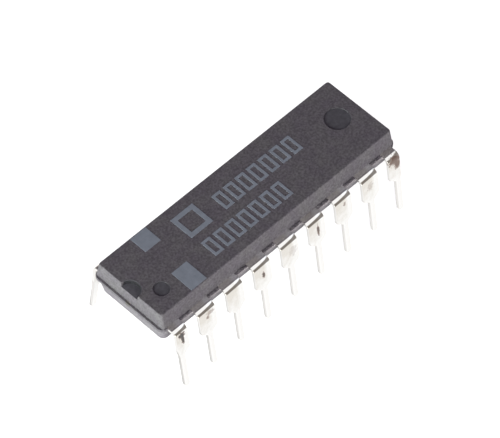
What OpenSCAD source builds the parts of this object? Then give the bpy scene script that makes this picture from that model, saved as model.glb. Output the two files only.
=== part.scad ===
// Dual in-line integrated circuit in moulded plastic, with nine leads along each long side.
// X runs along the body from the notched end, +Z points away from the circuit board.
// The origin is the centre of the seating plane, where the wide parts of the leads stop on the board.
// Lead 1 is at the notched end on the -Y side. The leads are numbered around the body from there.

/* [Moulded body] */
// Distance from the middle of an end lead to the end of the body, at the parting line
end_margin = 0.62; // [0.55:0.01:1.2]
// Width of the body at the parting line
body_width = 6.4; // [5.9:0.05:6.7]
// Height of the body above the parting line
upper_height = 1.44; // [1.3:0.01:2]
// Height of the body below the parting line
lower_height = 1.55; // [1.2:0.01:2]
// Gap between the underside and the board
standoff = 0.5; // [0.3:0.05:1]
// Slope of the long sides above the leads in degrees, which frees them from the mould
side_draft = 10.5; // [4:0.5:12]
// Slope of the ends above the leads in degrees
end_draft = 3; // [2:0.5:9]
// Slope of the long sides below the leads in degrees
low_side_draft = 11; // [4:0.5:12]
// Slope of the ends below the leads in degrees
low_end_draft = 8.5; // [2:0.5:9]
// Radius of the upright corners above the leads
corner_radius = 0.2; // [0.18:0.01:0.5]
// Radius of the upright corners at the underside
foot_radius = 0.42; // [0.3:0.01:0.6]
// Softening of the edges of the top and the underside
edge_softening = 0.07; // [0.03:0.01:0.15]
// How far the flange between the two halves of the mould stands out at the ends
flange_end = 0.17; // [0.14:0.01:0.25]
// How far that flange stands out along the sides
flange_side = 0.08; // [0.06:0.01:0.12]
// Radius of the corners of the flange
flange_radius = 0.5; // [0.4:0.01:0.52]
// How far the plastic left between the leads stands out from the side
web = 0.24; // [0.14:0.01:0.3]

/* [Notch and ejector marks] */
// Width of the notch that marks the lead 1 end
notch_width = 1.54; // [1:0.02:2.2]
// How far the notch reaches in from the end
notch_reach = 0.78; // [0.5:0.02:1.4]
// Depth of the notch below the top
notch_depth = 0.38; // [0.3:0.02:0.8]
// Diameter of the mark that the ejector pin of the mould leaves beside the notch
small_mark = 1.1; // [0.6:0.1:1.4]
// Diameter of the ejector mark at the other end
large_mark = 1.8; // [1.2:0.1:2.2]
// Depth of the ejector marks
ejector_depth = 0.06; // [0.03:0.01:0.15]
// Distance from the end of the top to the middle of the small mark
small_inset = 1.55; // [1.2:0.05:1.8]
// Distance from the end of the top to the middle of the large mark
large_inset = 1.85; // [1.5:0.05:3]
// Distance from the middle line to the small mark, on the lead 1 side
small_offset = 1.4; // [1.2:0.05:1.7]
// Distance from the middle line to the large mark, on the other side
large_offset = 0.25; // [0:0.05:0.8]

/* [Leads] */
// Distance from one lead to the next
lead_pitch = 2.54; // [2.45:0.01:2.6]
// Distance from the middle line to the outer faces of the front row, just below the bends
front_reach = 4.06; // [3.8:0.02:4.2]
// The same distance for the back row, which is bent in a little closer
back_reach = 3.78; // [3.76:0.02:4.2]
// Thickness of the lead strip
lead_thickness = 0.254; // [0.2:0.002:0.28]
// Width of the narrow part of a lead, which goes through the board
leg_width = 0.458; // [0.38:0.002:0.54]
// Width of the shoulder of a lead
shoulder_width = 1.5; // [1.3:0.02:1.7]
// Half width of the four end leads towards the end of the body
end_shoulder = 0.31; // [0.28:0.01:0.4]
// Inner radius of the bend
bend_radius = 0.2; // [0.1:0.01:0.25]
// How far the legs lean outwards, in degrees
splay = 8; // [0:0.5:10]
// Length of the legs below the seating plane
leg_length = 3.2; // [2.5:0.05:3.6]
// Height over which a lead narrows at the seating plane
taper_height = 0.4; // [0.1:0.02:0.5]
// Chamfer on the two edges of each tip
tip_chamfer = 0.08; // [0.02:0.01:0.15]

/* [Lead frame inside the body] */
// How far the wide part of a lead reaches into the body
root_depth = 0.5; // [0.4:0.02:0.55]
// Diameter of the hole that locks each lead in the plastic
lock_hole = 0.3; // [0.2:0.02:0.36]
// Width of a finger where it leaves the wide part
finger_width = 0.55; // [0.45:0.01:0.6]
// Width of a finger at its tip
tip_width = 0.36; // [0.28:0.01:0.38]
// Gap between the finger tips and the paddle
finger_gap = 0.25; // [0.2:0.01:0.3]
// Distance between the finger tips along the paddle
tip_pitch = 1.15; // [1.1:0.01:1.2]
// Length of the paddle that carries the chip
paddle_length = 5.4; // [5.2:0.05:5.6]
// Width of the paddle
paddle_width = 2.3; // [2.2:0.02:2.4]
// Width of the two tie bars that hold the paddle
tie_width = 0.4; // [0.3:0.02:0.44]
// How far the paddle lies below the fingers
down_set = 0.15; // [0.05:0.01:0.25]

/* [Chip and bond wires] */
// Length of the chip
chip_length = 3.1; // [2.6:0.05:4]
// Width of the chip
chip_width = 1.8; // [1.6:0.05:2.1]
// Thickness of the chip
chip_thickness = 0.3; // [0.2:0.01:0.38]
// Thickness of the adhesive under the chip
glue_thickness = 0.03; // [0.02:0.01:0.06]
// Distance from the edge of the chip to the middle of its contact pads
pad_inset = 0.12; // [0.08:0.01:0.2]
// Diameter of the bond wires
wire_diameter = 0.032; // [0.025:0.001:0.04]
// Height of the wire loops above the chip
loop_height = 0.22; // [0.16:0.01:0.3]

/* [Ink] */
// Thickness of the printed marks
ink_thickness = 0.015; // [0.01:0.001:0.03]
// Length of the two printed bars, along the body
bar_length = 1.38; // [0.8:0.02:1.8]
// Distance from the end of the top to the bars
bar_inset = 2.84; // [2.7:0.02:3.4]
// Width of one small printed box
box_width = 0.78; // [0.5:0.02:0.9]
// Height of one small printed box
box_height = 1.45; // [0.8:0.05:1.6]
// Width of the line that the small boxes are drawn with
line_width = 0.2; // [0.1:0.01:0.24]

/* [Hidden] */
row_count = 9;
// Smallest sizes that only the drawing of the solids needs
overshoot = 1;
bend_steps = 6;
corner_steps = 6;
softening_steps = 2;
wire_sides = 6;
circle_sides = 48;

// Heights above the board
underside_z = standoff;
lead_z = underside_z + lower_height;
top_z = lead_z + upper_height;
lead_top_z = lead_z + lead_thickness / 2;
lead_bottom_z = lead_z - lead_thickness / 2;

// Half sizes of the body at the flange and at the top
middle_place = (row_count - 1) / 2;
half_length = middle_place * lead_pitch + end_margin;
half_width = body_width / 2;
top_half_length = half_length - (top_z - lead_top_z) * tan(end_draft);
top_half_width = half_width - (top_z - lead_top_z) * tan(side_draft);

// The fingers: straight stretches where they leave the wide part and where they end
side_places = 2;
root_overlap = 0.1;
root_width = 0.9;
neck = 0.12;
end_neck = 0.37;
side_runs = [0.42, 0.36, 0.25];
corner_run = 1.9;
end_run = 4.9;
knee_share = 0.465;

// The paddle and what lies on it
paddle_top_z = lead_top_z - down_set;
chip_z = paddle_top_z + glue_thickness;
chip_top_z = chip_z + chip_thickness;
paddle_lip = 0.12;
joggle = 0.3;

// The bond wires: ball on the chip, flattened stitch on the finger
wire_r = wire_diameter / 2;
ball_r = 2.4 * wire_r;
ball_foot_r = 0.7 * ball_r;
ball_height = 1.6 * wire_r;
neck_r = 1.1 * wire_r;
stitch_r = 2.6 * wire_r;
stitch_half_width = 1.5 * wire_r;
heel_back = 1.5 * wire_r;
heel_height = 2.2 * wire_r;
heel_lean = 135;
stitch_back = 0.16;
pad_share = 0.62;
// Rise of the loop: distance from the ball, share of the height above the chip, lean in degrees
loop_rise = [[0.01, 0.72, 12], [0.06, 0.95, 52], [0.14, 1, 88]];
// Fall of the loop: share of the span, share of the height above the finger, lean in degrees
loop_fall = [[0.5, 0.85, 112], [0.8, 0.45, 126]];

// Printed marks: distances from the end of the top, and from the middle line
bar_edge = edge_softening + 0.01;
bar_depths = [1.46, 1.89];
large_box = 2;
large_line = 0.34;
large_box_place = [5.75, 0.1];
box_gap = 0.29;
boxes = 7;
box_rows = [[9.02, 0.15], [5.89, -2.05]];

// Numbers with two figures, as they stand in the names of the nodes
function two_figures(n) = str(n < 10 ? "0" : "", n);
function lead_name(n) = str("lead_", two_figures(n));
function wire_name(n) = str("bond_wire_", two_figures(n));

NUMBERS = [1 : 2 * row_count];

// Plane vectors
function unit(v) = v / norm(v);
function left_of(v) = [-v[1], v[0]];
function last(list) = len(list) - 1;

// Direction of the joint at a point of a path, long enough to keep the width of the strip
function mitre(path, i) =
    let (before = left_of(unit(path[max(i, 1)] - path[max(i, 1) - 1])))
    let (after = left_of(unit(path[min(i, last(path) - 1) + 1] - path[min(i, last(path) - 1)])))
    let (middle = unit(before + after))
    middle / (middle * before);

// Outline of a strip that follows a path, with its own width at each point
function strip(path, widths) = concat(
    [for (i = [0 : last(path)]) path[i] + mitre(path, i) * widths[i] / 2],
    [for (i = [last(path) : -1 : 0]) path[i] - mitre(path, i) * widths[i] / 2]
);

// A solid through rings of points that all run the same way round
module skin(rings) {
    sides = len(rings[0]);
    function corner(i, j) = i * sides + j % sides;
    polyhedron(
        points = [for (ring = rings) for (p = ring) p],
        faces = concat(
            [[for (j = [0 : sides - 1]) j]],
            [for (i = [0 : last(rings) - 1]) for (j = [0 : sides - 1])
                [corner(i, j), corner(i + 1, j), corner(i + 1, j + 1)]],
            [for (i = [0 : last(rings) - 1]) for (j = [0 : sides - 1])
                [corner(i, j), corner(i + 1, j + 1), corner(i, j + 1)]],
            [[for (j = [sides - 1 : -1 : 0]) corner(last(rings), j)]]
        )
    );
}

// Rectangle with round corners at one height
function rounded_ring(z, half_x, half_y, radius) = [
    for (quarter = [0 : 3]) for (step = [0 : corner_steps])
        let (a = 90 * (quarter + step / corner_steps))
        let (sx = quarter == 0 || quarter == 3 ? 1 : -1)
        let (sy = quarter < 2 ? 1 : -1)
        [sx * (half_x - radius) + radius * cos(a), sy * (half_y - radius) + radius * sin(a), z]
];

// Section of the body above or below the flange, drawn in by the draft and by an extra amount
function upper_section(z, inset) =
    let (drop = z - lead_top_z)
    rounded_ring(z, half_length - drop * tan(end_draft) - inset,
        half_width - drop * tan(side_draft) - inset, corner_radius);
function lower_section(z, inset) =
    let (drop = lead_bottom_z - z)
    rounded_ring(z, half_length - drop * tan(low_end_draft) - inset,
        half_width - drop * tan(low_side_draft) - inset, foot_radius);
function flange_section(z) =
    rounded_ring(z, half_length + flange_end, half_width + flange_side, flange_radius);

// Outside of the moulding, before the leads and the marks are cut from it:
// two halves with soft edges, and between them a flange as thick as the lead strip
module moulded_block() {
    function turn(i) = 90 * i / softening_steps;
    function rise(i) = edge_softening * (1 - cos(turn(i)));
    function inset(i) = edge_softening * (1 - sin(turn(i)));
    skin(concat(
        [for (i = [0 : softening_steps]) lower_section(underside_z + rise(i), inset(i))],
        [lower_section(lead_bottom_z, 0), flange_section(lead_bottom_z)],
        [flange_section(lead_top_z), upper_section(lead_top_z, 0)],
        [for (i = [softening_steps : -1 : 0]) upper_section(top_z - rise(i), inset(i))]
    ));
    for (turn = [0, 180]) rotate([0, 0, turn]) webs();
}

// Plastic that the mould lets out between the shoulders, as thick as the lead strip
module webs() {
    gap = lead_pitch - shoulder_width;
    for (i = [0 : row_count - 2])
        translate([lead_x(i) + shoulder_width / 2, -half_width - web, lead_bottom_z])
            cube([gap, web + root_depth / 2, lead_thickness]);
}

// Half-round notch with a flat floor
module notch() {
    middle = -top_half_length + notch_reach - notch_width / 2;
    translate([middle, 0, top_z - notch_depth])
        cylinder(d = notch_width, h = notch_depth + overshoot, $fn = circle_sides);
    translate([middle - overshoot, -notch_width / 2, top_z - notch_depth])
        cube([overshoot, notch_width, notch_depth + overshoot]);
}

// One shallow round mark beside the notch and a larger one at the other end, cut up from a height
module ejector_marks(z, height) {
    translate([-top_half_length + small_inset, -small_offset, z])
        cylinder(d = small_mark, h = height, $fn = circle_sides);
    translate([top_half_length - large_inset, large_offset, z])
        cylinder(d = large_mark, h = height, $fn = circle_sides);
}

module body() {
    color([0.27, 0.26, 0.27])
    difference() {
        moulded_block();
        notch();
        ejector_marks(top_z - ejector_depth, overshoot);
        ejector_marks(underside_z - overshoot, overshoot + ejector_depth);
        for (n = NUMBERS) lead(n);
        die_paddle();
        die_attach();
        die();
        for (n = NUMBERS) bond_wire(n);
    }
}

// Middle of a lead along the body, counted from 0 at the notched end of the front row
function lead_x(i) = (i - middle_place) * lead_pitch;
// Place of a lead number in its row, and the turn that brings the front row to its own row
function row_place(n) = (n - 1) % row_count;
function row_turn(n) = n > row_count ? 180 : 0;

// Bent strip seen along the body: shoulder, bend and leaning leg, drawn outwards
module bent_strip(reach) {
    turn = 90 - splay;
    outer_r = bend_radius + lead_thickness;
    centre = [reach - outer_r * sin(turn), lead_bottom_z - bend_radius];
    start = half_width - root_depth;
    run = (centre[1] + leg_length + overshoot) / cos(splay);
    function on_arc(r, a) = centre + r * [sin(a), cos(a)];
    leg = run * [sin(splay), -cos(splay)];
    polygon(concat(
        [[start, lead_top_z]],
        [for (i = [0 : bend_steps]) on_arc(outer_r, turn * i / bend_steps)],
        [on_arc(outer_r, turn) + leg, on_arc(bend_radius, turn) + leg],
        [for (i = [bend_steps : -1 : 0]) on_arc(bend_radius, turn * i / bend_steps)],
        [[start, lead_bottom_z]]
    ));
}

// Outline of a lead seen from the side of the body: wide shoulder, taper, narrow leg and tip
module lead_outline(low_half, high_half) {
    leg = leg_width / 2;
    wide_z = taper_height / 2;
    polygon([
        [-low_half, top_z],
        [high_half, top_z],
        [high_half, wide_z],
        [leg, -wide_z],
        [leg, -leg_length + 2 * tip_chamfer],
        [leg - tip_chamfer, -leg_length],
        [-leg + tip_chamfer, -leg_length],
        [-leg, -leg_length + 2 * tip_chamfer],
        [-leg, -wide_z],
        [-low_half, wide_z]
    ]);
}

// Path of the finger inside the body, from the wide part to the paddle, for a place in the row.
// The middle fingers end beside the paddle, the two outer pairs at the ends of the paddle.
function finger_path(i) =
    let (k = i - middle_place)
    let (at_end = abs(k) == middle_place)
    let (x = lead_x(i) - (at_end ? sign(k) * (shoulder_width / 2 - end_shoulder) / 2 : 0))
    let (root_y = -half_width + root_depth)
    let (side_y = -paddle_width / 2 - finger_gap)
    let (end_x = sign(k) * (paddle_length / 2 + finger_gap))
    let (end_y = -(tie_width + tip_width) / 2 - finger_gap
        - (middle_place - abs(k)) * (tip_width + finger_gap))
    concat(
        [[x, root_y - root_overlap], [x, root_y + (at_end ? end_neck : neck)]],
        abs(k) <= side_places
            ? [[k * tip_pitch, side_y - side_runs[abs(k)]], [k * tip_pitch, side_y]]
            : [[end_x + sign(k) * (at_end ? end_run : corner_run), end_y], [end_x, end_y]]
    );

// Lead at a place in the front row, bent at a distance from the middle line
module front_lead(i, reach) {
    low_half = i == 0 ? end_shoulder : shoulder_width / 2;
    high_half = i == row_count - 1 ? end_shoulder : shoulder_width / 2;
    path = finger_path(i);
    widths = [root_width, finger_width, knee_share * (finger_width + tip_width), tip_width];
    difference() {
        union() {
            intersection() {
                translate([lead_x(i), 0, 0])
                    rotate([90, 0, -90])
                        linear_extrude(2 * shoulder_width, center = true) bent_strip(reach);
                translate([lead_x(i), 0, 0])
                    rotate([90, 0, 0])
                        linear_extrude(2 * reach) lead_outline(low_half, high_half);
            }
            translate([0, 0, lead_bottom_z])
                linear_extrude(lead_thickness) polygon(strip(path, widths));
        }
        translate([path[0][0], -half_width + root_depth / 2, lead_z - lead_thickness])
            cylinder(d = lock_hole, h = 2 * lead_thickness, $fn = circle_sides);
    }
}

module lead(n) {
    color([0.86, 0.86, 0.84])
    rotate([0, 0, row_turn(n)])
        front_lead(row_place(n), n > row_count ? back_reach : front_reach);
}

// Paddle pressed down a little below the fingers, with its two tie bars cut flush with the flange
module die_paddle() {
    reach = half_length + flange_end;
    low_z = lead_z - down_set;
    bend_x = paddle_length / 2 + paddle_lip;
    path = [[-reach, lead_z], [-bend_x - joggle, lead_z], [-bend_x, low_z],
        [bend_x, low_z], [bend_x + joggle, lead_z], [reach, lead_z]];
    color([0.78, 0.6, 0.45])
    intersection() {
        rotate([90, 0, 0])
            linear_extrude(2 * paddle_width, center = true)
                polygon(strip(path, [for (p = path) lead_thickness]));
        translate([0, 0, underside_z])
            linear_extrude(lower_height + upper_height) {
                square([paddle_length, paddle_width], center = true);
                square([2 * reach, tie_width], center = true);
            }
    }
}

// Thin bed of adhesive under the chip
module die_attach() {
    color([0.7, 0.7, 0.68])
    translate([-chip_length / 2, -chip_width / 2, paddle_top_z])
        cube([chip_length, chip_width, glue_thickness]);
}

// Silicon chip
module die() {
    color([0.32, 0.34, 0.38])
    translate([-chip_length / 2, -chip_width / 2, chip_z])
        cube([chip_length, chip_width, chip_thickness]);
}

// Contact pad on the chip for a place in the front row
function pad_place(i) =
    let (k = i - middle_place)
    let (tip = finger_path(i)[3])
    abs(k) <= side_places
        ? [k / side_places * (chip_length / 2 - 2 * pad_inset), -chip_width / 2 + pad_inset]
        : [sign(k) * (chip_length / 2 - pad_inset), tip[1] * pad_share];

// Where the wire is stitched to the finger, a little in from its tip
function stitch_place(i) =
    let (path = finger_path(i))
    path[3] + stitch_back * unit(path[2] - path[3]);

// One ring of a wire in the upright plane from a to b, at a distance u from a and a height z
function wire_ring(a, b, u, z, lean, r_along, r_across) =
    let (along = unit(b - a))
    let (across = left_of(along))
    [for (j = [0 : wire_sides - 1])
        let (s = 360 * j / wire_sides)
        let (flat = a + along * (u + r_along * cos(s) * cos(lean)) + across * r_across * sin(s))
        [flat[0], flat[1], z - r_along * cos(s) * sin(lean)]];

// Wire with a ball on the chip and a loop down to a flattened stitch on the finger
module front_wire(i) {
    a = pad_place(i);
    b = stitch_place(i);
    span = norm(b - a);
    fall = chip_top_z + loop_height - lead_top_z;
    skin(concat(
        [
            wire_ring(a, b, 0, chip_top_z, 0, ball_foot_r, ball_foot_r),
            wire_ring(a, b, 0, chip_top_z + ball_height / 2, 0, ball_r, ball_r),
            wire_ring(a, b, 0, chip_top_z + ball_height, 0, neck_r, neck_r)
        ],
        [for (p = loop_rise)
            wire_ring(a, b, p[0], chip_top_z + p[1] * loop_height, p[2], wire_r, wire_r)],
        [for (p = loop_fall)
            wire_ring(a, b, p[0] * span, lead_top_z + p[1] * fall, p[2], wire_r, wire_r)],
        [
            wire_ring(a, b, span - heel_back, lead_top_z + heel_height, heel_lean, wire_r, wire_r),
            wire_ring(a, b, span, lead_top_z, 180, stitch_r, stitch_half_width)
        ]
    ));
}

module bond_wire(n) {
    color([0.95, 0.78, 0.35])
    rotate([0, 0, row_turn(n)]) front_wire(row_place(n));
}

// Outline of a rectangle, drawn inwards from its lower left corner
module box_outline(size, line) {
    difference() {
        square(size);
        translate([line, line]) square([size[0] - 2 * line, size[1] - 2 * line]);
    }
}

// Printed on the top: two bars at the notched end, a large plain box and two rows of small ones
module ink_marks() {
    edge_y = top_half_width - bar_edge;
    color([0.5, 0.52, 0.56])
    translate([-top_half_length, 0, top_z])
        linear_extrude(ink_thickness) {
            translate([bar_inset, edge_y - bar_depths[0]]) square([bar_length, bar_depths[0]]);
            translate([bar_inset, -edge_y]) square([bar_length, bar_depths[1]]);
            translate(large_box_place) box_outline([large_box, large_box], large_line);
            for (row = box_rows) for (i = [0 : boxes - 1])
                translate([row[0] + i * (box_width + box_gap), row[1]])
                    box_outline([box_width, box_height], line_width);
        }
}

body();
die_paddle();
die_attach();
die();
ink_marks();
for (n = NUMBERS) {
    lead(n);
    bond_wire(n);
}
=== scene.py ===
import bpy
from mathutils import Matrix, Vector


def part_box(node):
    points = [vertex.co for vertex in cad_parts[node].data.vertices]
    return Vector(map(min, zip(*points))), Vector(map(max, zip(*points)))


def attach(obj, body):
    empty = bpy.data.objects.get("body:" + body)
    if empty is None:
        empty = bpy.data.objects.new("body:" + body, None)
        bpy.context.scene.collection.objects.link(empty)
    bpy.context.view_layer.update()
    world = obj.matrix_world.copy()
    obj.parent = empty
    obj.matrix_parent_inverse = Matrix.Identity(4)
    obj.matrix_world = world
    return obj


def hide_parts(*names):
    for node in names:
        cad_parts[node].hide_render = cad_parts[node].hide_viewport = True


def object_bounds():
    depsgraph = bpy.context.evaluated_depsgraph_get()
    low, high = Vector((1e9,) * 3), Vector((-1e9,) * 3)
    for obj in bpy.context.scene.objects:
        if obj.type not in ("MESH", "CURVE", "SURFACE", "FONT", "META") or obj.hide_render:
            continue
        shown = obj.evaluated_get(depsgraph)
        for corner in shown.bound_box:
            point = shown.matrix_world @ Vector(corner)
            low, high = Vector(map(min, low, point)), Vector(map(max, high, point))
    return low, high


bl_info = {
    "name": "Dual In-Line Chip Finisher",
    "version": (1, 0, 0),
    "blender": (4, 5, 0),
    "location": "3D View > Sidebar > Chip",
    "description": "Finishes the solids of a dual in-line chip and sets them on a pale studio stage",
    "category": "Object",
}

import math

import bmesh
import bpy
from mathutils import Matrix, Vector

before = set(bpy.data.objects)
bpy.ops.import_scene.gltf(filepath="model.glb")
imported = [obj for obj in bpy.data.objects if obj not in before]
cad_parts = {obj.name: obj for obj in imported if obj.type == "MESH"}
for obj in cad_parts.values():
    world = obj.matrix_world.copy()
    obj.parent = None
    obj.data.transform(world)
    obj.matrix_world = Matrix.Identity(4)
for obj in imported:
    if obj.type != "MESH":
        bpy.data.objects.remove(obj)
CAD_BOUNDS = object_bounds()

# Shape of the chip, read from the solids
MM = 0.001
BODY_LOW, BODY_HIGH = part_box("body")
TOP_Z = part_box("ink_marks")[0][2]
LEAD_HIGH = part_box("lead_05")[1]
LEAD_TOP_Z = LEAD_HIGH[2]
FLOOR_Z = CAD_BOUNDS[0][2]
LEADS = sorted(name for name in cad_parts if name.startswith("lead_"))
WIRES = sorted(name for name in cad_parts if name.startswith("bond_wire_"))

# Sizes that no box gives: the pitch, the leads on each side of a row's middle one, the depth of
# the broken webs, and where the wide parts of the front row face outwards
LEAD_PITCH = 2.54 * MM
HALF_ROW = 4
WEB_DEPTH = 0.24 * MM
FACE_Y = -4.15 * MM

# Lengths below which two points or two heights are the same
MERGE_DISTANCE = 1e-7
SAME_HEIGHT = 1e-6

# Angles in degrees: flat areas are joined up below the first, edges are rounded above the next
# two, and shading stays sharp above the last two
FLAT_ANGLE = 0.5
RIM_ANGLE = 50
LEAD_EDGE_ANGLE = 30
BODY_SHADING_ANGLE = 50
LEAD_SHADING_ANGLE = 35
ROUNDING_STEPS = 2

# Where the notch and the ejector marks are: their depth in the top and in the underside, how far
# they stay from the ends, and half the width that they lie in
TOP_MARK_DEPTH = 0.45 * MM
UNDER_MARK_DEPTH = 0.07 * MM
MARK_END_MARGIN = 0.4 * MM
MARK_HALF_WIDTH = 2.6 * MM

# Crumbs: the seed, and the least and the greatest stone as shares of the crumb size
CRUMB_SEED = 7
LEAST_STONE = (0.5, 0.35, 0.35)
GREATEST_STONE = (1.7, 0.9, 0.8)

# Most of a noise lies in the first range. Clouds and lumps show between the limits of theirs.
NOISE_RANGE = (0.3, 0.7)
CLOUD_RANGE = (0.35, 0.7)
LUMP_RANGE = (0.35, 0.65)
MATT_SPECULAR = 0.25

# Stage: the floor's half size and its own light, seen directly, on the chip and in mirrors
FLOOR_HALF = 2.0
GLOW_SEEN = 0.85
GLOW_ON_CHIP = 0.35
GLOW_IN_MIRRORS = 1.03

# The floor's light is weaker below the body: that share of it, until these distances past the
# body's sides
SHADED_GLOW = 0.8
SHADE_LIMITS = (-1.5 * MM, 0.5 * MM)

# Surroundings: colours, and the parts of the direction between which one gives way to the next
LOW_SKY = (0.25, 0.23, 0.215)
HIGH_SKY = (1.2, 1.23, 1.3)
SKY_LIMITS = (0.67, 0.75)
DIM_ROOM = (0.17, 0.16, 0.18)
ROOM_LIMITS = (0.15, 0.25)
WEAK_GREY = (0.115, 0.078, 0.112)
WHITE = (1, 1, 1)

# Lamps: name, direction, level and colour
LAMPS = (
    ("end_lamp", (-0.97, 0.10, 0.14), 1.86, (0.915, 1.0, 0.928)),
    ("front_lamp", (-0.38, -0.92, 0.15), 0.91, (0.986, 1.0, 0.948)),
)
LAMP_DISTANCE = 0.45
LAMP_SIZE = 0.28

# Camera: the width of its sensor in millimetres, and the depths that it sees
SENSOR_WIDTH = 36
CLIP_START = 0.005
CLIP_END = 20


# Settings


class ChipFinish(bpy.types.PropertyGroup):
    """Colours and sizes of the chip's own surfaces."""

    epoxy_colour: bpy.props.FloatVectorProperty(
        name="Moulding",
        description="Colour of the moulded epoxy",
        subtype="COLOR",
        size=3,
        min=0,
        max=1,
        default=(0.142, 0.129, 0.15),
    )
    epoxy_mottle: bpy.props.FloatVectorProperty(
        name="Mottling",
        description="Colour of the paler clouds in the moulded epoxy",
        subtype="COLOR",
        size=3,
        min=0,
        max=1,
        default=(0.163, 0.155, 0.165),
    )
    # Painted light: how much paler the lower half of the moulding is drawn
    lower_half_light: bpy.props.FloatProperty(
        name="Lower half",
        description="How much paler the lower half of the moulding is, as a factor",
        subtype="FACTOR",
        default=1.38,
        min=1,
        max=2,
    )
    speck_size: bpy.props.FloatProperty(
        name="Specks",
        description="Size of the pale and dark specks of filler",
        subtype="DISTANCE",
        unit="LENGTH",
        default=0.00015,
    )
    speck_contrast: bpy.props.FloatProperty(
        name="Speck contrast",
        description="How far the specks are paler or darker than the rest",
        subtype="FACTOR",
        default=0.3,
        min=0,
        max=1,
    )
    polished_colour: bpy.props.FloatVectorProperty(
        name="Polished moulding",
        description="Colour of the epoxy in the notch and the ejector marks",
        subtype="COLOR",
        size=3,
        min=0,
        max=1,
        default=(0.096, 0.094, 0.108),
    )
    grain_size: bpy.props.FloatProperty(
        name="Grain",
        description="Size of the fine grain that the spark-cut mould leaves",
        subtype="DISTANCE",
        unit="LENGTH",
        default=0.00011,
    )
    grain_depth: bpy.props.FloatProperty(
        name="Grain depth",
        description="Depth of that grain",
        subtype="DISTANCE",
        unit="LENGTH",
        default=0.000008,
    )
    tin_colour: bpy.props.FloatVectorProperty(
        name="Tin",
        description="Colour of the tinned leads",
        subtype="COLOR",
        size=3,
        min=0,
        max=1,
        default=(0.955, 0.945, 0.925),
    )
    # Also a painted reflection of shade on the side of each lead that faces the notch end
    dull_and_shaded_tin_colour: bpy.props.FloatVectorProperty(
        name="Dull tin",
        description="Colour of the tin towards the bends, above the part that the solder reached",
        subtype="COLOR",
        size=3,
        min=0,
        max=1,
        default=(0.8, 0.765, 0.71),
    )
    # Partly thin tin and partly a painted reflection of the shaded floor below the body
    cut_edge_and_shade_colour: bpy.props.FloatVectorProperty(
        name="Cut edges",
        description="Colour of the stamped sides of the legs, where the tin is thin",
        subtype="COLOR",
        size=3,
        min=0,
        max=1,
        default=(0.8, 0.78, 0.755),
    )
    # Partly broken plastic and partly painted light in the shaded gaps between the leads
    broken_and_lit_colour: bpy.props.FloatVectorProperty(
        name="Broken web",
        description="Colour of the rough epoxy where the webs between the leads broke off",
        subtype="COLOR",
        size=3,
        min=0,
        max=1,
        default=(0.4, 0.37, 0.4),
    )
    # Partly burnt flux and partly a painted reflection of the shaded floor below the body
    stain_and_reflection_colour: bpy.props.FloatVectorProperty(
        name="Stain",
        description="Colour of the burnt flux left below the bends of some leads",
        subtype="COLOR",
        size=3,
        min=0,
        max=1,
        default=(0.085, 0.075, 0.07),
    )
    # Partly flux and partly painted reflection, where the spot is faint
    thin_stain_and_reflection_colour: bpy.props.FloatVectorProperty(
        name="Thin stain",
        description="Colour of the flux where it is thin",
        subtype="COLOR",
        size=3,
        min=0,
        max=1,
        default=(0.22, 0.145, 0.115),
    )
    lead_edge: bpy.props.FloatProperty(
        name="Lead edge",
        description="Rounding of the stamped edges of the leads",
        subtype="DISTANCE",
        unit="LENGTH",
        default=0.00002,
    )
    rim_edge: bpy.props.FloatProperty(
        name="Rim edge",
        description="Rounding of the rims of the notch and the ejector marks",
        subtype="DISTANCE",
        unit="LENGTH",
        default=0.00004,
    )
    ink_colour: bpy.props.FloatVectorProperty(
        name="Ink",
        description="Colour of the printed marks",
        subtype="COLOR",
        size=3,
        min=0,
        max=1,
        default=(0.315, 0.352, 0.42),
    )
    crumb_size: bpy.props.FloatProperty(
        name="Flash crumb",
        description="Size of the crumbs of plastic where the webs between the leads broke off",
        subtype="DISTANCE",
        unit="LENGTH",
        default=0.0001,
    )
    crumb_count: bpy.props.IntProperty(
        name="Crumbs per web",
        description="Number of crumbs along each web",
        default=12,
        min=1,
        max=40,
    )


class ChipStage(bpy.types.PropertyGroup):
    """The camera, the lamps and the floor."""

    azimuth: bpy.props.FloatProperty(
        name="Azimuth",
        description="Direction of the camera round the chip, 0 looking along +Y",
        subtype="ANGLE",
        unit="ROTATION",
        default=math.radians(-44.90),
    )
    elevation: bpy.props.FloatProperty(
        name="Elevation",
        description="Height of the camera above the horizon",
        subtype="ANGLE",
        unit="ROTATION",
        default=math.radians(54.03),
    )
    distance: bpy.props.FloatProperty(
        name="Distance",
        description="Distance from the camera to the point it looks at",
        subtype="DISTANCE",
        unit="LENGTH",
        default=0.2612,
    )
    target: bpy.props.FloatVectorProperty(
        name="Target",
        description="Point that the camera looks at",
        subtype="XYZ",
        unit="LENGTH",
        size=3,
        default=(0.000478, 0.000135, 0.000314),
    )
    lens: bpy.props.FloatProperty(
        name="Lens",
        description="Focal length of the camera in millimetres",
        subtype="DISTANCE_CAMERA",
        unit="CAMERA",
        default=281.6,
    )
    floor_colour: bpy.props.FloatVectorProperty(
        name="Floor",
        description="Colour of the floor",
        subtype="COLOR",
        size=3,
        min=0,
        max=1,
        default=(0.82, 0.82, 0.82),
    )


# Material helpers


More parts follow.
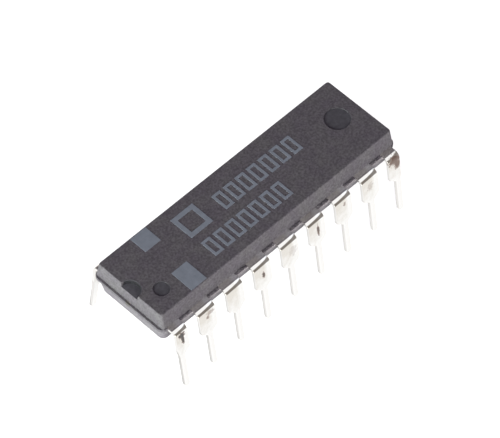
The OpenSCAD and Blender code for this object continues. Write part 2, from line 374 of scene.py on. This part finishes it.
class TreeNodes:
    """Short calls that add nodes to an empty node tree and join them."""

    def __init__(self, tree):
        self.tree = tree
        tree.nodes.clear()

    def add(self, kind, **settings):
        node = self.tree.nodes.new(kind)
        for key, value in settings.items():
            setattr(node, key, value)
        return node

    def join(self, source, target):
        self.tree.links.new(source, target)

    def fill(self, socket, value):
        """Join an output to the socket, or give the socket a number or a colour."""
        if isinstance(value, bpy.types.NodeSocket):
            self.join(value, socket)
        elif isinstance(value, (int, float)):
            socket.default_value = value
        else:
            socket.default_value = (*value, 1)

    def math(self, operation, *values):
        node = self.add("ShaderNodeMath", operation=operation)
        for socket, value in zip(node.inputs, values):
            self.fill(socket, value)
        return node.outputs["Value"]

    def opposite(self, share):
        """1 less the share."""
        return self.math("SUBTRACT", 1.0, share)

    def spread(self, value, low, high, to_low=0.0, to_high=1.0):
        """A number that goes from to_low to to_high while the value goes from low to high."""
        node = self.add("ShaderNodeMapRange")
        for socket, number in zip(node.inputs[1:5], (low, high, to_low, to_high)):
            socket.default_value = number
        self.join(value, node.inputs["Value"])
        return node.outputs["Result"]

    def blend(self, share, first, second):
        """A colour that is the first where the share is 0 and the second where it is 1."""
        node = self.add("ShaderNodeMix", data_type="RGBA")
        for index, value in ((0, share), (6, first), (7, second)):
            self.fill(node.inputs[index], value)
        return node.outputs[2]

    def axes(self, vector):
        """The outputs X, Y and Z of the vector."""
        node = self.add("ShaderNodeSeparateXYZ")
        self.join(vector, node.inputs[0])
        return node.outputs


class SurfaceNodes(TreeNodes):
    """A material with a Principled shader and Object coordinates."""

    def __init__(self, name):
        self.material = bpy.data.materials.new(name)
        self.material.use_nodes = True
        super().__init__(self.material.node_tree)
        output = self.add("ShaderNodeOutputMaterial")
        self.shader = self.add("ShaderNodeBsdfPrincipled")
        self.join(self.shader.outputs["BSDF"], output.inputs["Surface"])
        self.place = self.add("ShaderNodeTexCoord").outputs["Object"]

    def set(self, **values):
        """Fill the shader's sockets. Their names have an underscore for each space."""
        for key, value in values.items():
            self.fill(self.shader.inputs[key.replace("_", " ")], value)

    def noise(self, feature, detail=3.0, roughness=0.55):
        """Noise whose features are about that many metres across."""
        node = self.add("ShaderNodeTexNoise")
        node.inputs["Scale"].default_value = 1 / feature
        node.inputs["Detail"].default_value = detail
        node.inputs["Roughness"].default_value = roughness
        self.join(self.place, node.inputs["Vector"])
        return node.outputs["Fac"]

    def vary(self, noise, low, high):
        """A number between low and high that follows the noise."""
        return self.spread(noise, *NOISE_RANGE, low, high)

    def facing(self):
        """The outputs X, Y and Z of the direction that the surface truly faces."""
        return self.axes(self.add("ShaderNodeNewGeometry").outputs["True Normal"])

    def scaled(self, colour, factor):
        node = self.add("ShaderNodeVectorMath", operation="SCALE")
        self.join(colour, node.inputs[0])
        self.join(factor, node.inputs["Scale"])
        return node.outputs["Vector"]

    def bump(self, height, depth):
        node = self.add("ShaderNodeBump")
        node.inputs["Strength"].default_value = 1.0
        node.inputs["Distance"].default_value = depth
        self.join(height, node.inputs["Height"])
        return node.outputs["Normal"]


def shade(colour, factor):
    return tuple(factor * part for part in colour)


# Materials


def mould_grain(nodes, finish):
    """The grain that the mould leaves, also below the ink."""
    return nodes.noise(finish.grain_size, detail=4, roughness=0.6)


def moulded_epoxy(finish):
    """Dark filled epoxy with spark-cut grain, clouds and specks of filler. It is paler below the
    parting line, which is painted light, and near the outer ends of the webs, partly for the broken
    plastic and partly as painted light in the shaded gaps between the leads."""
    nodes = SurfaceNodes("moulded_epoxy")
    place = nodes.axes(nodes.place)
    grain = mould_grain(nodes, finish)

    cloud_size = 1.1 * MM
    clouds = nodes.spread(nodes.noise(cloud_size), *CLOUD_RANGE)
    specks = nodes.noise(finish.speck_size, detail=2)
    contrast = finish.speck_contrast
    parting_line = (1.9 * MM, 1.95 * MM)
    base = nodes.blend(clouds, finish.epoxy_colour, finish.epoxy_mottle)
    base = nodes.scaled(base, nodes.vary(specks, 1 - contrast, 1 + contrast))
    # Painted light: the moulding is drawn paler below the parting line
    base = nodes.scaled(base, nodes.spread(place["Z"], *parting_line, finish.lower_half_light, 1.0))

    # Paler near the outer ends of the webs, with a torn border: partly broken plastic and partly
    # painted light in the shaded gaps between the leads
    lump_size, tear_size = 0.09 * MM, 0.3 * MM
    tear_limits = (-0.08 * MM, 0.07 * MM)
    break_limits = (BODY_HIGH[1] - 0.19 * MM, BODY_HIGH[1] - 0.07 * MM)
    lumps = nodes.noise(lump_size)
    pale = finish.broken_and_lit_colour
    rough = nodes.blend(nodes.spread(lumps, *LUMP_RANGE), shade(pale, 0.6), pale)
    torn = nodes.spread(nodes.noise(tear_size, detail=2), *LUMP_RANGE, *tear_limits)
    outward = nodes.math("ADD", nodes.math("ABSOLUTE", place["Y"]), torn)
    broken = nodes.spread(outward, *break_limits)

    break_depth = 0.03 * MM
    pits = nodes.math("MULTIPLY", nodes.math("MULTIPLY", broken, lumps), break_depth)
    relief = nodes.math("MULTIPLY_ADD", grain, finish.grain_depth, pits)
    nodes.set(
        Base_Color=nodes.blend(broken, base, rough),
        Roughness=nodes.vary(grain, 0.46, 0.6),
        Specular_IOR_Level=MATT_SPECULAR,
        Normal=nodes.bump(relief, 1.0),
    )
    return nodes.material


def polished_epoxy(finish):
    """The same epoxy where the mould was polished: smoother, so it looks darker. The walls of the
    notch and the marks are darker still by painted shade."""
    nodes = SurfaceNodes("polished_epoxy")
    cloud_size = 0.25 * MM
    clouds = nodes.noise(cloud_size)
    paler = shade(finish.polished_colour, 1.35)
    base = nodes.blend(nodes.spread(clouds, *CLOUD_RANGE), finish.polished_colour, paler)

    # Painted shade: walls are darker than level faces. Deep level faces are a little paler than
    # shallow ones
    shallow_limits = (TOP_Z - 0.3 * MM, TOP_Z - 0.1 * MM)
    slope_limits = (0.3, 0.9)
    deep_wall_shade, shallow_wall_shade, deep_level = 0.25, 0.3, 1.2
    shallow = nodes.spread(nodes.axes(nodes.place)["Z"], *shallow_limits)
    upward = nodes.spread(nodes.math("ABSOLUTE", nodes.facing()["Z"]), *slope_limits)
    wall = nodes.spread(shallow, 0, 1, deep_wall_shade, shallow_wall_shade)
    tone = nodes.math("MULTIPLY_ADD", upward, nodes.opposite(wall), wall)
    deepness = nodes.spread(shallow, 0, 1, deep_level, 1.0)
    nodes.set(
        Base_Color=nodes.scaled(base, nodes.math("MULTIPLY", tone, deepness)),
        Roughness=nodes.vary(clouds, 0.3, 0.42),
        Specular_IOR_Level=MATT_SPECULAR,
    )
    return nodes.material


# Stains on the outer faces of the front row, partly burnt flux and partly painted reflections of the
# shaded floor below the body: the lead's number, then in millimetres the place across the lead, the
# height, half the width and half the height of the spot, and its strength
STAINS_AND_REFLECTIONS = (
    (1, 0.18, 1.72, 0.30, 0.22, 0.95),
    (1, 0.22, 1.38, 0.13, 0.48, 0.95),
    (2, 0.30, 1.75, 0.34, 0.18, 0.27),
    (2, -0.02, 1.42, 0.13, 0.16, 0.36),
    (4, 0.02, 1.15, 0.14, 0.27, 0.68),
    (5, 0.25, 1.20, 0.35, 0.45, 0.11),
    (6, 0.07, 1.20, 0.12, 0.50, 0.66),
    (7, 0.08, 1.60, 0.13, 0.18, 0.32),
    (8, -0.05, 1.30, 0.28, 0.40, 0.14),
    (9, -0.12, 1.80, 0.66, 0.34, 0.56),
    (9, 0.05, 1.42, 0.30, 0.52, 0.54),
)


def stain_and_reflection_mask(nodes):
    """How much each place of the leads takes a spot that is partly burnt flux and partly painted
    reflection, with ragged borders. A spot has a radius of 1 in its own measure, and fades between
    its two limits."""
    rag_size, rag_depth = 0.16 * MM, 0.35
    fade_limits = (0.6, 1.15)
    ragged = nodes.vary(nodes.noise(rag_size), -rag_depth, rag_depth)
    total = None
    for number, along, height, half_x, half_z, strength in STAINS_AND_REFLECTIONS:
        x = (number - HALF_ROW - 1) * LEAD_PITCH + along * MM
        shift = nodes.add("ShaderNodeVectorMath", operation="SUBTRACT")
        shift.inputs[1].default_value = (x, FACE_Y, height * MM)
        nodes.join(nodes.place, shift.inputs[0])
        shrink = nodes.add("ShaderNodeVectorMath", operation="MULTIPLY")
        shrink.inputs[1].default_value = (1 / (half_x * MM), 1 / MM, 1 / (half_z * MM))
        nodes.join(shift.outputs["Vector"], shrink.inputs[0])
        far = nodes.add("ShaderNodeVectorMath", operation="LENGTH")
        nodes.join(shrink.outputs["Vector"], far.inputs[0])
        edge = nodes.math("ADD", far.outputs["Value"], ragged)
        spot = nodes.spread(edge, *fade_limits, strength, 0.0)
        total = spot if total is None else nodes.math("MAXIMUM", total, spot)
    return total


def tinned_metal(finish):
    """Bright tin over the stamped strip with slight ripples. It is duller towards the bends and
    darker on the cut edges where the tin is thin, both partly painted reflections of shade, and has
    dark spots of burnt flux that are partly painted reflections of the shaded floor."""
    nodes = SurfaceNodes("tinned_metal")
    place = nodes.axes(nodes.place)
    ripple_size, ripple_depth, fine_size = 0.6 * MM, 0.004 * MM, 0.05 * MM
    ripples = nodes.noise(ripple_size, detail=2)
    sideways_limits = (0.6, 0.8)
    cut = nodes.spread(nodes.math("ABSOLUTE", nodes.facing()["X"]), *sideways_limits)

    # Duller towards the bend, where the solder did not reach, and as a painted reflection of shade
    # on the side of each lead that faces the notch end; least on cut edges
    dull_heights, dull_ripple, dull_on_cut = (-0.1 * MM, 1.5 * MM), 0.5 * MM, 0.2
    side_limits = (0.05, 0.16)
    height = nodes.math("ADD", place["Z"], nodes.vary(ripples, -dull_ripple, dull_ripple))
    pitches = nodes.math("MULTIPLY_ADD", place["X"], 1 / LEAD_PITCH, 0.5)
    across = nodes.math("SUBTRACT", nodes.math("FRACT", pitches), 0.5)
    mirrored_shade_side = nodes.spread(across, *side_limits, 1.0, 0.0)
    dull_and_shaded = nodes.math("MULTIPLY", nodes.spread(height, *dull_heights), mirrored_shade_side)
    dull_and_shaded = nodes.math("MULTIPLY", dull_and_shaded, nodes.spread(cut, 0, 1, 1.0, dull_on_cut))
    tin = nodes.blend(dull_and_shaded, finish.tin_colour, finish.dull_and_shaded_tin_colour)

    # Thin tin on the cut edges of the legs, with a painted reflection of the shaded floor below the
    # body, darkest at the notch end of the front row. The back row counts as far from that end
    leg_end, thin_above_leg = (0.2 * MM, 0.5 * MM), 0.1
    back_shift, darkest_mirrored_shade = 10.0, 0.83
    first_lead, third_lead = -HALF_ROW * LEAD_PITCH, -(HALF_ROW - 2) * LEAD_PITCH
    leg = nodes.spread(place["Z"], *leg_end, 1.0, thin_above_leg)
    behind = nodes.math("MAXIMUM", place["Y"], 0.0)
    from_notch = nodes.math("MULTIPLY_ADD", behind, back_shift, place["X"])
    mirrored_shade = nodes.spread(from_notch, first_lead, third_lead, darkest_mirrored_shade, 1.0)
    edge = nodes.blend(mirrored_shade, (0, 0, 0), finish.cut_edge_and_shade_colour)
    tin = nodes.blend(nodes.math("MULTIPLY", cut, leg), tin, edge)

    # Flux, which covers the tin first and then gets thick and dark; partly a painted reflection of
    # the shaded floor below the body
    covered, darkened, stain_roughness = 0.5, 0.75, 0.4
    stain_and_reflection = stain_and_reflection_mask(nodes)
    thick = nodes.spread(stain_and_reflection, covered, darkened)
    flux = nodes.blend(thick, finish.thin_stain_and_reflection_colour, finish.stain_and_reflection_colour)
    cover = nodes.spread(stain_and_reflection, 0.0, covered)
    smooth = nodes.vary(nodes.noise(fine_size, detail=2), 0.06, 0.12)
    nodes.set(
        Base_Color=nodes.blend(cover, tin, flux),
        Roughness=nodes.math("MULTIPLY_ADD", stain_and_reflection, stain_roughness, smooth),
        Metallic=nodes.opposite(cover),
        Normal=nodes.bump(ripples, ripple_depth),
    )
    return nodes.material


def printing_ink(finish):
    """Thin grey ink that takes on the grain of the plastic below it."""
    nodes = SurfaceNodes("printing_ink")
    grain = mould_grain(nodes, finish)
    cloud_size, grain_share = 0.5 * MM, 0.7
    clouds = nodes.vary(nodes.noise(cloud_size), 0.0, 1.0)
    nodes.set(
        Base_Color=nodes.blend(clouds, finish.ink_colour, shade(finish.ink_colour, 0.82)),
        Roughness=nodes.vary(grain, 0.55, 0.7),
        Normal=nodes.bump(grain, grain_share * finish.grain_depth),
    )
    return nodes.material


def paddle_metal():
    """Silver-plated strip, dull and brown where the tie bars were cut at the ends of the body."""
    nodes = SurfaceNodes("paddle_metal")
    bright, dull, brown = (0.75, 0.7, 0.62), (0.6, 0.55, 0.48), (0.1, 0.09, 0.085)
    cut_limits = (BODY_HIGH[0] - 0.2 * MM, BODY_HIGH[0] - 0.1 * MM)
    wander_size = 0.3 * MM
    wander = nodes.noise(wander_size)
    reach = nodes.math("ABSOLUTE", nodes.axes(nodes.place)["X"])
    cut = nodes.spread(reach, *cut_limits)
    nodes.set(
        Base_Color=nodes.blend(cut, nodes.blend(wander, bright, dull), brown),
        Roughness=nodes.vary(wander, 0.35, 0.5),
        Metallic=nodes.opposite(cut),
    )
    return nodes.material


def bond_gold():
    """Drawn gold wire."""
    nodes = SurfaceNodes("bond_gold")
    gold = (0.95, 0.7, 0.3)
    wander_size = 0.05 * MM
    wander = nodes.noise(wander_size)
    nodes.set(
        Base_Color=nodes.blend(wander, gold, shade(gold, 0.8)),
        Roughness=nodes.vary(wander, 0.12, 0.25),
        Metallic=1.0,
    )
    return nodes.material


def chip_silicon():
    """Dark mirror of silicon with a faint square pattern of circuit blocks."""
    nodes = SurfaceNodes("chip_silicon")
    bluish, brownish = (0.12, 0.13, 0.18), (0.22, 0.2, 0.16)
    block_size = 0.22 * MM
    blocks = nodes.add("ShaderNodeTexVoronoi", feature="F1", distance="CHEBYCHEV")
    blocks.inputs["Scale"].default_value = 1 / block_size
    nodes.join(nodes.place, blocks.inputs["Vector"])
    share = nodes.spread(blocks.outputs["Distance"], 0.1, 0.6)
    nodes.set(
        Base_Color=nodes.blend(share, bluish, brownish),
        Roughness=0.25,
        Metallic=0.7,
    )
    return nodes.material


def chip_glue():
    """Silver-filled adhesive."""
    nodes = SurfaceNodes("chip_glue")
    grey, bright = (0.45, 0.45, 0.43), (0.7, 0.7, 0.68)
    flake_size = 0.03 * MM
    flakes = nodes.noise(flake_size)
    nodes.set(
        Base_Color=nodes.blend(flakes, grey, bright),
        Roughness=nodes.vary(flakes, 0.35, 0.6),
        Metallic=0.6,
    )
    return nodes.material


# Shape helpers


def merged_copy(node):
    """A mesh with the node's faces joined up and its flat areas whole again."""
    mesh = bmesh.new()
    mesh.from_mesh(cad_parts[node].data)
    bmesh.ops.remove_doubles(mesh, verts=mesh.verts, dist=MERGE_DISTANCE)
    flat = math.radians(FLAT_ANGLE)
    bmesh.ops.dissolve_limit(mesh, angle_limit=flat, verts=mesh.verts, edges=mesh.edges)
    return mesh


def sharp_edges(mesh, angle):
    """The edges between two faces that meet at more than that many degrees."""
    limit = math.radians(angle)
    return [e for e in mesh.edges if len(e.link_faces) == 2 and e.calc_face_angle(0) > limit]


def soften(mesh, edges, width):
    """Round the edges by that width."""
    bmesh.ops.bevel(
        mesh,
        geom=edges,
        offset=width,
        offset_type="OFFSET",
        segments=ROUNDING_STEPS,
        profile=0.5,
        affect="EDGES",
        clamp_overlap=True,
    )


def finished(mesh, name, material, smooth_angle):
    """An object from the mesh, smooth but for its sharp edges. Its large faces are shaded flat."""
    for face in mesh.faces:
        face.smooth = True
    for edge in mesh.edges:
        edge.smooth = True
    for edge in sharp_edges(mesh, smooth_angle):
        edge.smooth = False
    data = bpy.data.meshes.new(name)
    mesh.to_mesh(data)
    mesh.free()
    data.materials.append(material)
    piece = bpy.data.objects.new(name, data)
    bpy.context.scene.collection.objects.link(piece)
    weighted = piece.modifiers.new("flat_faces_first", "WEIGHTED_NORMAL")
    weighted.mode = "FACE_AREA"
    weighted.weight = 100
    weighted.keep_sharp = True
    return piece


def paint(node, material):
    """The node keeps its shape and takes the material."""
    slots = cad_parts[node].data.materials
    slots.clear()
    slots.append(material)


# Operators


class CHIP_OT_moulding(bpy.types.Operator):
    """Finish the moulded body and round the rims of its notch and ejector marks"""

    bl_idname = "chip.moulding"
    bl_label = "Moulded body"

    def execute(self, context):
        finish = context.scene.chip_finish
        mesh = merged_copy("body")
        rims = [e for e in sharp_edges(mesh, RIM_ANGLE) if self.on_face(e)]
        soften(mesh, rims, finish.rim_edge)
        for face in mesh.faces:
            face.material_index = int(self.in_mark(face))
        piece = finished(mesh, "moulded_body", moulded_epoxy(finish), BODY_SHADING_ANGLE)
        piece.data.materials.append(polished_epoxy(finish))
        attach(piece, "root")
        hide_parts("body")
        return {"FINISHED"}

    @staticmethod
    def on_face(edge):
        """True for the rims that lie in the top or the underside."""
        return any(
            all(abs(vertex.co.z - level) < SAME_HEIGHT for vertex in edge.verts)
            for level in (TOP_Z, BODY_LOW[2])
        )

    @staticmethod
    def in_mark(face):
        """True for the faces sunk in the top or the underside, away from the edges of the body."""
        x, y, z = face.calc_center_median()
        in_top = SAME_HEIGHT < TOP_Z - z < TOP_MARK_DEPTH
        in_underside = SAME_HEIGHT < z - BODY_LOW[2] < UNDER_MARK_DEPTH
        inside = abs(x) < BODY_HIGH[0] - MARK_END_MARGIN and abs(y) < MARK_HALF_WIDTH
        return (in_top or in_underside) and inside


def socket_of(group, name):
    """The identifier of the group's input or output of that name."""
    return next(item.identifier for item in group.interface.items_tree if item.name == name)


def crumb_group():
    """Node group that scatters small stones over a mesh."""
    group = bpy.data.node_groups.new("flash_crumbs", "GeometryNodeTree")
    for name, kind in (
        ("Bed", "NodeSocketGeometry"),
        ("Density", "NodeSocketFloat"),
        ("Size", "NodeSocketFloat"),
        ("Seed", "NodeSocketInt"),
        ("Plastic", "NodeSocketMaterial"),
    ):
        group.interface.new_socket(name, in_out="INPUT", socket_type=kind)
    group.interface.new_socket("Crumbs", in_out="OUTPUT", socket_type="NodeSocketGeometry")
    nodes = group.nodes
    given = nodes.new("NodeGroupInput")
    result = nodes.new("NodeGroupOutput")
    scatter = nodes.new("GeometryNodeDistributePointsOnFaces")
    stone = nodes.new("GeometryNodeMeshIcoSphere")
    stone.inputs["Radius"].default_value = 0.5
    stone.inputs["Subdivisions"].default_value = 1
    tumble = nodes.new("FunctionNodeRandomValue")
    tumble.data_type = "FLOAT_VECTOR"
    tumble.inputs["Max"].default_value = (math.tau, math.tau, math.tau)
    shape = nodes.new("FunctionNodeRandomValue")
    shape.data_type = "FLOAT_VECTOR"
    shape.inputs["Min"].default_value = LEAST_STONE
    shape.inputs["Max"].default_value = GREATEST_STONE
    scale = nodes.new("ShaderNodeVectorMath")
    scale.operation = "SCALE"
    copies = nodes.new("GeometryNodeInstanceOnPoints")
    real = nodes.new("GeometryNodeRealizeInstances")
    clothe = nodes.new("GeometryNodeSetMaterial")
    for source, target in (
        (given.outputs["Bed"], scatter.inputs["Mesh"]),
        (given.outputs["Density"], scatter.inputs["Density"]),
        (given.outputs["Seed"], scatter.inputs["Seed"]),
        (given.outputs["Seed"], tumble.inputs["Seed"]),
        (given.outputs["Seed"], shape.inputs["Seed"]),
        (shape.outputs["Value"], scale.inputs[0]),
        (given.outputs["Size"], scale.inputs["Scale"]),
        (scatter.outputs["Points"], copies.inputs["Points"]),
        (stone.outputs["Mesh"], copies.inputs["Instance"]),
        (tumble.outputs["Value"], copies.inputs["Rotation"]),
        (scale.outputs["Vector"], copies.inputs["Scale"]),
        (copies.outputs["Instances"], real.inputs["Geometry"]),
        (real.outputs["Geometry"], clothe.inputs["Geometry"]),
        (given.outputs["Plastic"], clothe.inputs["Material"]),
        (clothe.outputs["Geometry"], result.inputs["Crumbs"]),
    ):
        group.links.new(source, target)
    return group


class CHIP_OT_crumbs(bpy.types.Operator):
    """Scatter crumbs of broken plastic along the webs between the leads"""

    bl_idname = "chip.crumbs"
    bl_label = "Flash crumbs"

    def execute(self, context):
        finish = context.scene.chip_finish
        bed = bpy.data.objects.new("crumb_bed", self.web_tops())
        context.scene.collection.objects.link(bed)
        group = crumb_group()
        scatter = bed.modifiers.new("scatter", "NODES")
        scatter.node_group = group
        area = (LEAD_PITCH - 2 * LEAD_HIGH[0]) * WEB_DEPTH
        settings = {
            "Density": finish.crumb_count / area,
            "Size": finish.crumb_size,
            "Seed": CRUMB_SEED,
            "Plastic": bpy.data.materials["moulded_epoxy"],
        }
        for name, value in settings.items():
            scatter[socket_of(group, name)] = value
        context.view_layer.update()
        scattered = bed.evaluated_get(context.evaluated_depsgraph_get())
        made = bpy.data.meshes.new_from_object(scattered)
        bpy.data.objects.remove(bed)
        crumbs = bpy.data.objects.new("flash_crumbs", made)
        context.scene.collection.objects.link(crumbs)
        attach(crumbs, "root")
        return {"FINISHED"}

    @staticmethod
    def web_tops():
        """A mesh of the small plastic faces between the shoulders of the leads, on both sides."""
        mesh = bpy.data.meshes.new("web_tops")
        verts, faces = [], []
        for side in (-1, 1):
            inner, outer = side * (BODY_HIGH[1] - WEB_DEPTH), side * BODY_HIGH[1]
            for place in range(-HALF_ROW, HALF_ROW):
                start = place * LEAD_PITCH + LEAD_HIGH[0]
                end = (place + 1) * LEAD_PITCH - LEAD_HIGH[0]
                corners = ((start, inner), (end, inner), (end, outer), (start, outer))
                faces.append(tuple(range(len(verts), len(verts) + len(corners))))
                verts += [(x, y, LEAD_TOP_Z) for x, y in corners]
        mesh.from_pydata(verts, [], faces)
        return mesh


class CHIP_OT_leads(bpy.types.Operator):
    """Round the stamped edges of the leads and tin them"""

    bl_idname = "chip.leads"
    bl_label = "Leads"

    def execute(self, context):
        finish = context.scene.chip_finish
        tin = tinned_metal(finish)
        for name in LEADS:
            mesh = merged_copy(name)
            soften(mesh, sharp_edges(mesh, LEAD_EDGE_ANGLE), finish.lead_edge)
            piece = finished(mesh, name + "_tinned", tin, LEAD_SHADING_ANGLE)
            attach(piece, "root")
            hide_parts(name)
        return {"FINISHED"}


class CHIP_OT_inside(bpy.types.Operator):
    """Finish the paddle, the chip and the bond wires inside the body"""

    bl_idname = "chip.inside"
    bl_label = "Chip and wires"

    def execute(self, context):
        paint("die_paddle", paddle_metal())
        paint("die_attach", chip_glue())
        paint("die", chip_silicon())
        gold = bond_gold()
        for name in WIRES:
            paint(name, gold)
        return {"FINISHED"}


class CHIP_OT_ink(bpy.types.Operator):
    """Finish the printed marks on the top"""

    bl_idname = "chip.ink"
    bl_label = "Printed marks"

    def execute(self, context):
        paint("ink_marks", printing_ink(context.scene.chip_finish))
        return {"FINISHED"}


class CHIP_OT_stage(bpy.types.Operator):
    """Make the floor, the lamps, the surroundings and the camera"""

    bl_idname = "chip.stage"
    bl_label = "Stage"

    def execute(self, context):
        stage = context.scene.chip_stage
        self.floor(stage)
        self.surroundings()
        for lamp in LAMPS:
            self.lamp(*lamp)
        self.camera(stage)
        context.scene.view_settings.view_transform = "Standard"
        return {"FINISHED"}

    def floor(self, stage):
        """A wide pale floor that the camera sees nearly white, with the shadow kept."""
        sides = ((-1, -1), (1, -1), (1, 1), (-1, 1))
        corners = [(x * FLOOR_HALF, y * FLOOR_HALF, FLOOR_Z) for x, y in sides]
        mesh = bpy.data.meshes.new("floor")
        mesh.from_pydata(corners, [], [(0, 1, 2, 3)])
        mesh.materials.append(self.pale_floor(stage))
        floor = bpy.data.objects.new("floor", mesh)
        bpy.context.scene.collection.objects.link(floor)

    def pale_floor(self, stage):
        """Matt and faintly glowing. Mirrors see only its plain light."""
        material = bpy.data.materials.new("pale_floor")
        material.use_nodes = True
        nodes = TreeNodes(material.node_tree)
        rays = nodes.add("ShaderNodeLightPath").outputs
        direct, in_mirrors = self.floor_glow(nodes, rays)
        matt = nodes.add("ShaderNodeBsdfDiffuse")
        nodes.fill(matt.inputs["Color"], stage.floor_colour)
        glow = nodes.add("ShaderNodeEmission")
        nodes.join(direct, glow.inputs["Strength"])
        mirrored = nodes.add("ShaderNodeEmission")
        nodes.join(in_mirrors, mirrored.inputs["Strength"])
        both = nodes.add("ShaderNodeAddShader")
        nodes.join(matt.outputs[0], both.inputs[0])
        nodes.join(glow.outputs[0], both.inputs[1])
        choice = nodes.add("ShaderNodeMixShader")
        nodes.join(rays["Is Glossy Ray"], choice.inputs[0])
        nodes.join(both.outputs[0], choice.inputs[1])
        nodes.join(mirrored.outputs[0], choice.inputs[2])
        output = nodes.add("ShaderNodeOutputMaterial")
        nodes.join(choice.outputs[0], output.inputs["Surface"])
        return material

    @staticmethod
    def floor_glow(nodes, rays):
        """Strengths of the floor's own light: the first is white to the camera and weaker on the
        chip, above all from the shaded floor below the body. Mirrors see the second."""
        spot = nodes.axes(nodes.add("ShaderNodeNewGeometry").outputs["Position"])
        past_end = nodes.math("SUBTRACT", nodes.math("ABSOLUTE", spot["X"]), BODY_HIGH[0])
        past_side = nodes.math("SUBTRACT", nodes.math("ABSOLUTE", spot["Y"]), BODY_HIGH[1])
        past = nodes.math("MAXIMUM", past_end, past_side)
        open_floor = nodes.spread(past, *SHADE_LIMITS, SHADED_GLOW, 1.0)
        on_chip = nodes.math("MULTIPLY", open_floor, GLOW_ON_CHIP)
        seen = nodes.math("MAXIMUM", rays["Is Camera Ray"], rays["Is Transmission Ray"])
        unseen = nodes.math("MULTIPLY", on_chip, nodes.opposite(seen))
        direct = nodes.math("MULTIPLY_ADD", seen, GLOW_SEEN, unseen)
        return direct, nodes.math("MULTIPLY", open_floor, GLOW_IN_MIRRORS)

    def surroundings(self):
        """A weak grey sky for the light, and white to the camera. Mirrors see a bright sky high
        up in front of the chip, a dim one lower down, and a dim room behind it."""
        world = bpy.data.worlds.new("studio_surroundings")
        bpy.context.scene.world = world
        world.use_nodes = True
        nodes = TreeNodes(world.node_tree)
        direction = nodes.axes(nodes.add("ShaderNodeTexCoord").outputs["Generated"])
        rays = nodes.add("ShaderNodeLightPath").outputs
        sky = nodes.blend(nodes.spread(direction["Z"], *SKY_LIMITS), LOW_SKY, HIGH_SKY)
        room = nodes.blend(nodes.spread(direction["Y"], *ROOM_LIMITS), sky, DIM_ROOM)
        seen = nodes.blend(rays["Is Glossy Ray"], WEAK_GREY, room)
        for ray in ("Is Camera Ray", "Is Transmission Ray"):
            seen = nodes.blend(rays[ray], seen, WHITE)
        light = nodes.add("ShaderNodeBackground")
        nodes.join(seen, light.inputs["Color"])
        output = nodes.add("ShaderNodeOutputWorld")
        nodes.join(light.outputs[0], output.inputs["Surface"])

    def lamp(self, name, direction, level, colour):
        """A square soft lamp. A white surface that faces it gets that level of light."""
        data = bpy.data.lights.new(name, "AREA")
        data.shape = "SQUARE"
        data.size = LAMP_SIZE
        data.color = colour
        data.energy = level * math.pi**2 * LAMP_DISTANCE**2
        lamp = bpy.data.objects.new(name, data)
        away = Vector(direction).normalized()
        turn = away.to_track_quat("Z", "Y").to_matrix().to_4x4()
        lamp.matrix_world = Matrix.Translation(away * LAMP_DISTANCE) @ turn
        bpy.context.scene.collection.objects.link(lamp)

    def camera(self, stage):
        """The camera looks at the target from the direction of the photograph."""
        a, e = stage.azimuth, stage.elevation
        back = Vector((math.sin(a) * math.cos(e), -math.cos(a) * math.cos(e), math.sin(e)))
        right = Vector((math.cos(a), math.sin(a), 0))
        up = back.cross(right)
        turn = Matrix((right, up, back)).transposed().to_4x4()
        data = bpy.data.cameras.new("photo_camera")
        data.sensor_width = SENSOR_WIDTH
        data.lens = stage.lens
        data.clip_start = CLIP_START
        data.clip_end = CLIP_END
        camera = bpy.data.objects.new("photo_camera", data)
        spot = Vector(stage.target) + back * stage.distance
        camera.matrix_world = Matrix.Translation(spot) @ turn
        bpy.context.scene.collection.objects.link(camera)
        bpy.context.scene.camera = camera


class CHIP_PT_panel(bpy.types.Panel):
    """The steps that dress the chip, in order"""

    bl_idname = "CHIP_PT_panel"
    bl_label = "Chip"
    bl_space_type = "VIEW_3D"
    bl_region_type = "UI"
    bl_category = "Chip"

    def draw(self, context):
        layout = self.layout
        for group in (context.scene.chip_finish, context.scene.chip_stage):
            box = layout.box()
            for name in group.__annotations__:
                box.prop(group, name)
        for step in STEPS:
            layout.operator(step.bl_idname)


STEPS = (
    CHIP_OT_moulding,
    CHIP_OT_crumbs,
    CHIP_OT_leads,
    CHIP_OT_inside,
    CHIP_OT_ink,
    CHIP_OT_stage,
)
CLASSES = (ChipFinish, ChipStage, *STEPS, CHIP_PT_panel)


def register():
    for kind in CLASSES:
        bpy.utils.register_class(kind)
    bpy.types.Scene.chip_finish = bpy.props.PointerProperty(type=ChipFinish)
    bpy.types.Scene.chip_stage = bpy.props.PointerProperty(type=ChipStage)


def unregister():
    del bpy.types.Scene.chip_stage
    del bpy.types.Scene.chip_finish
    for kind in reversed(CLASSES):
        bpy.utils.unregister_class(kind)


def main():
    register()
    bpy.ops.chip.moulding()
    bpy.ops.chip.crumbs()
    bpy.ops.chip.leads()
    bpy.ops.chip.inside()
    bpy.ops.chip.ink()
    bpy.ops.chip.stage()


if __name__ == "__main__":
    main()
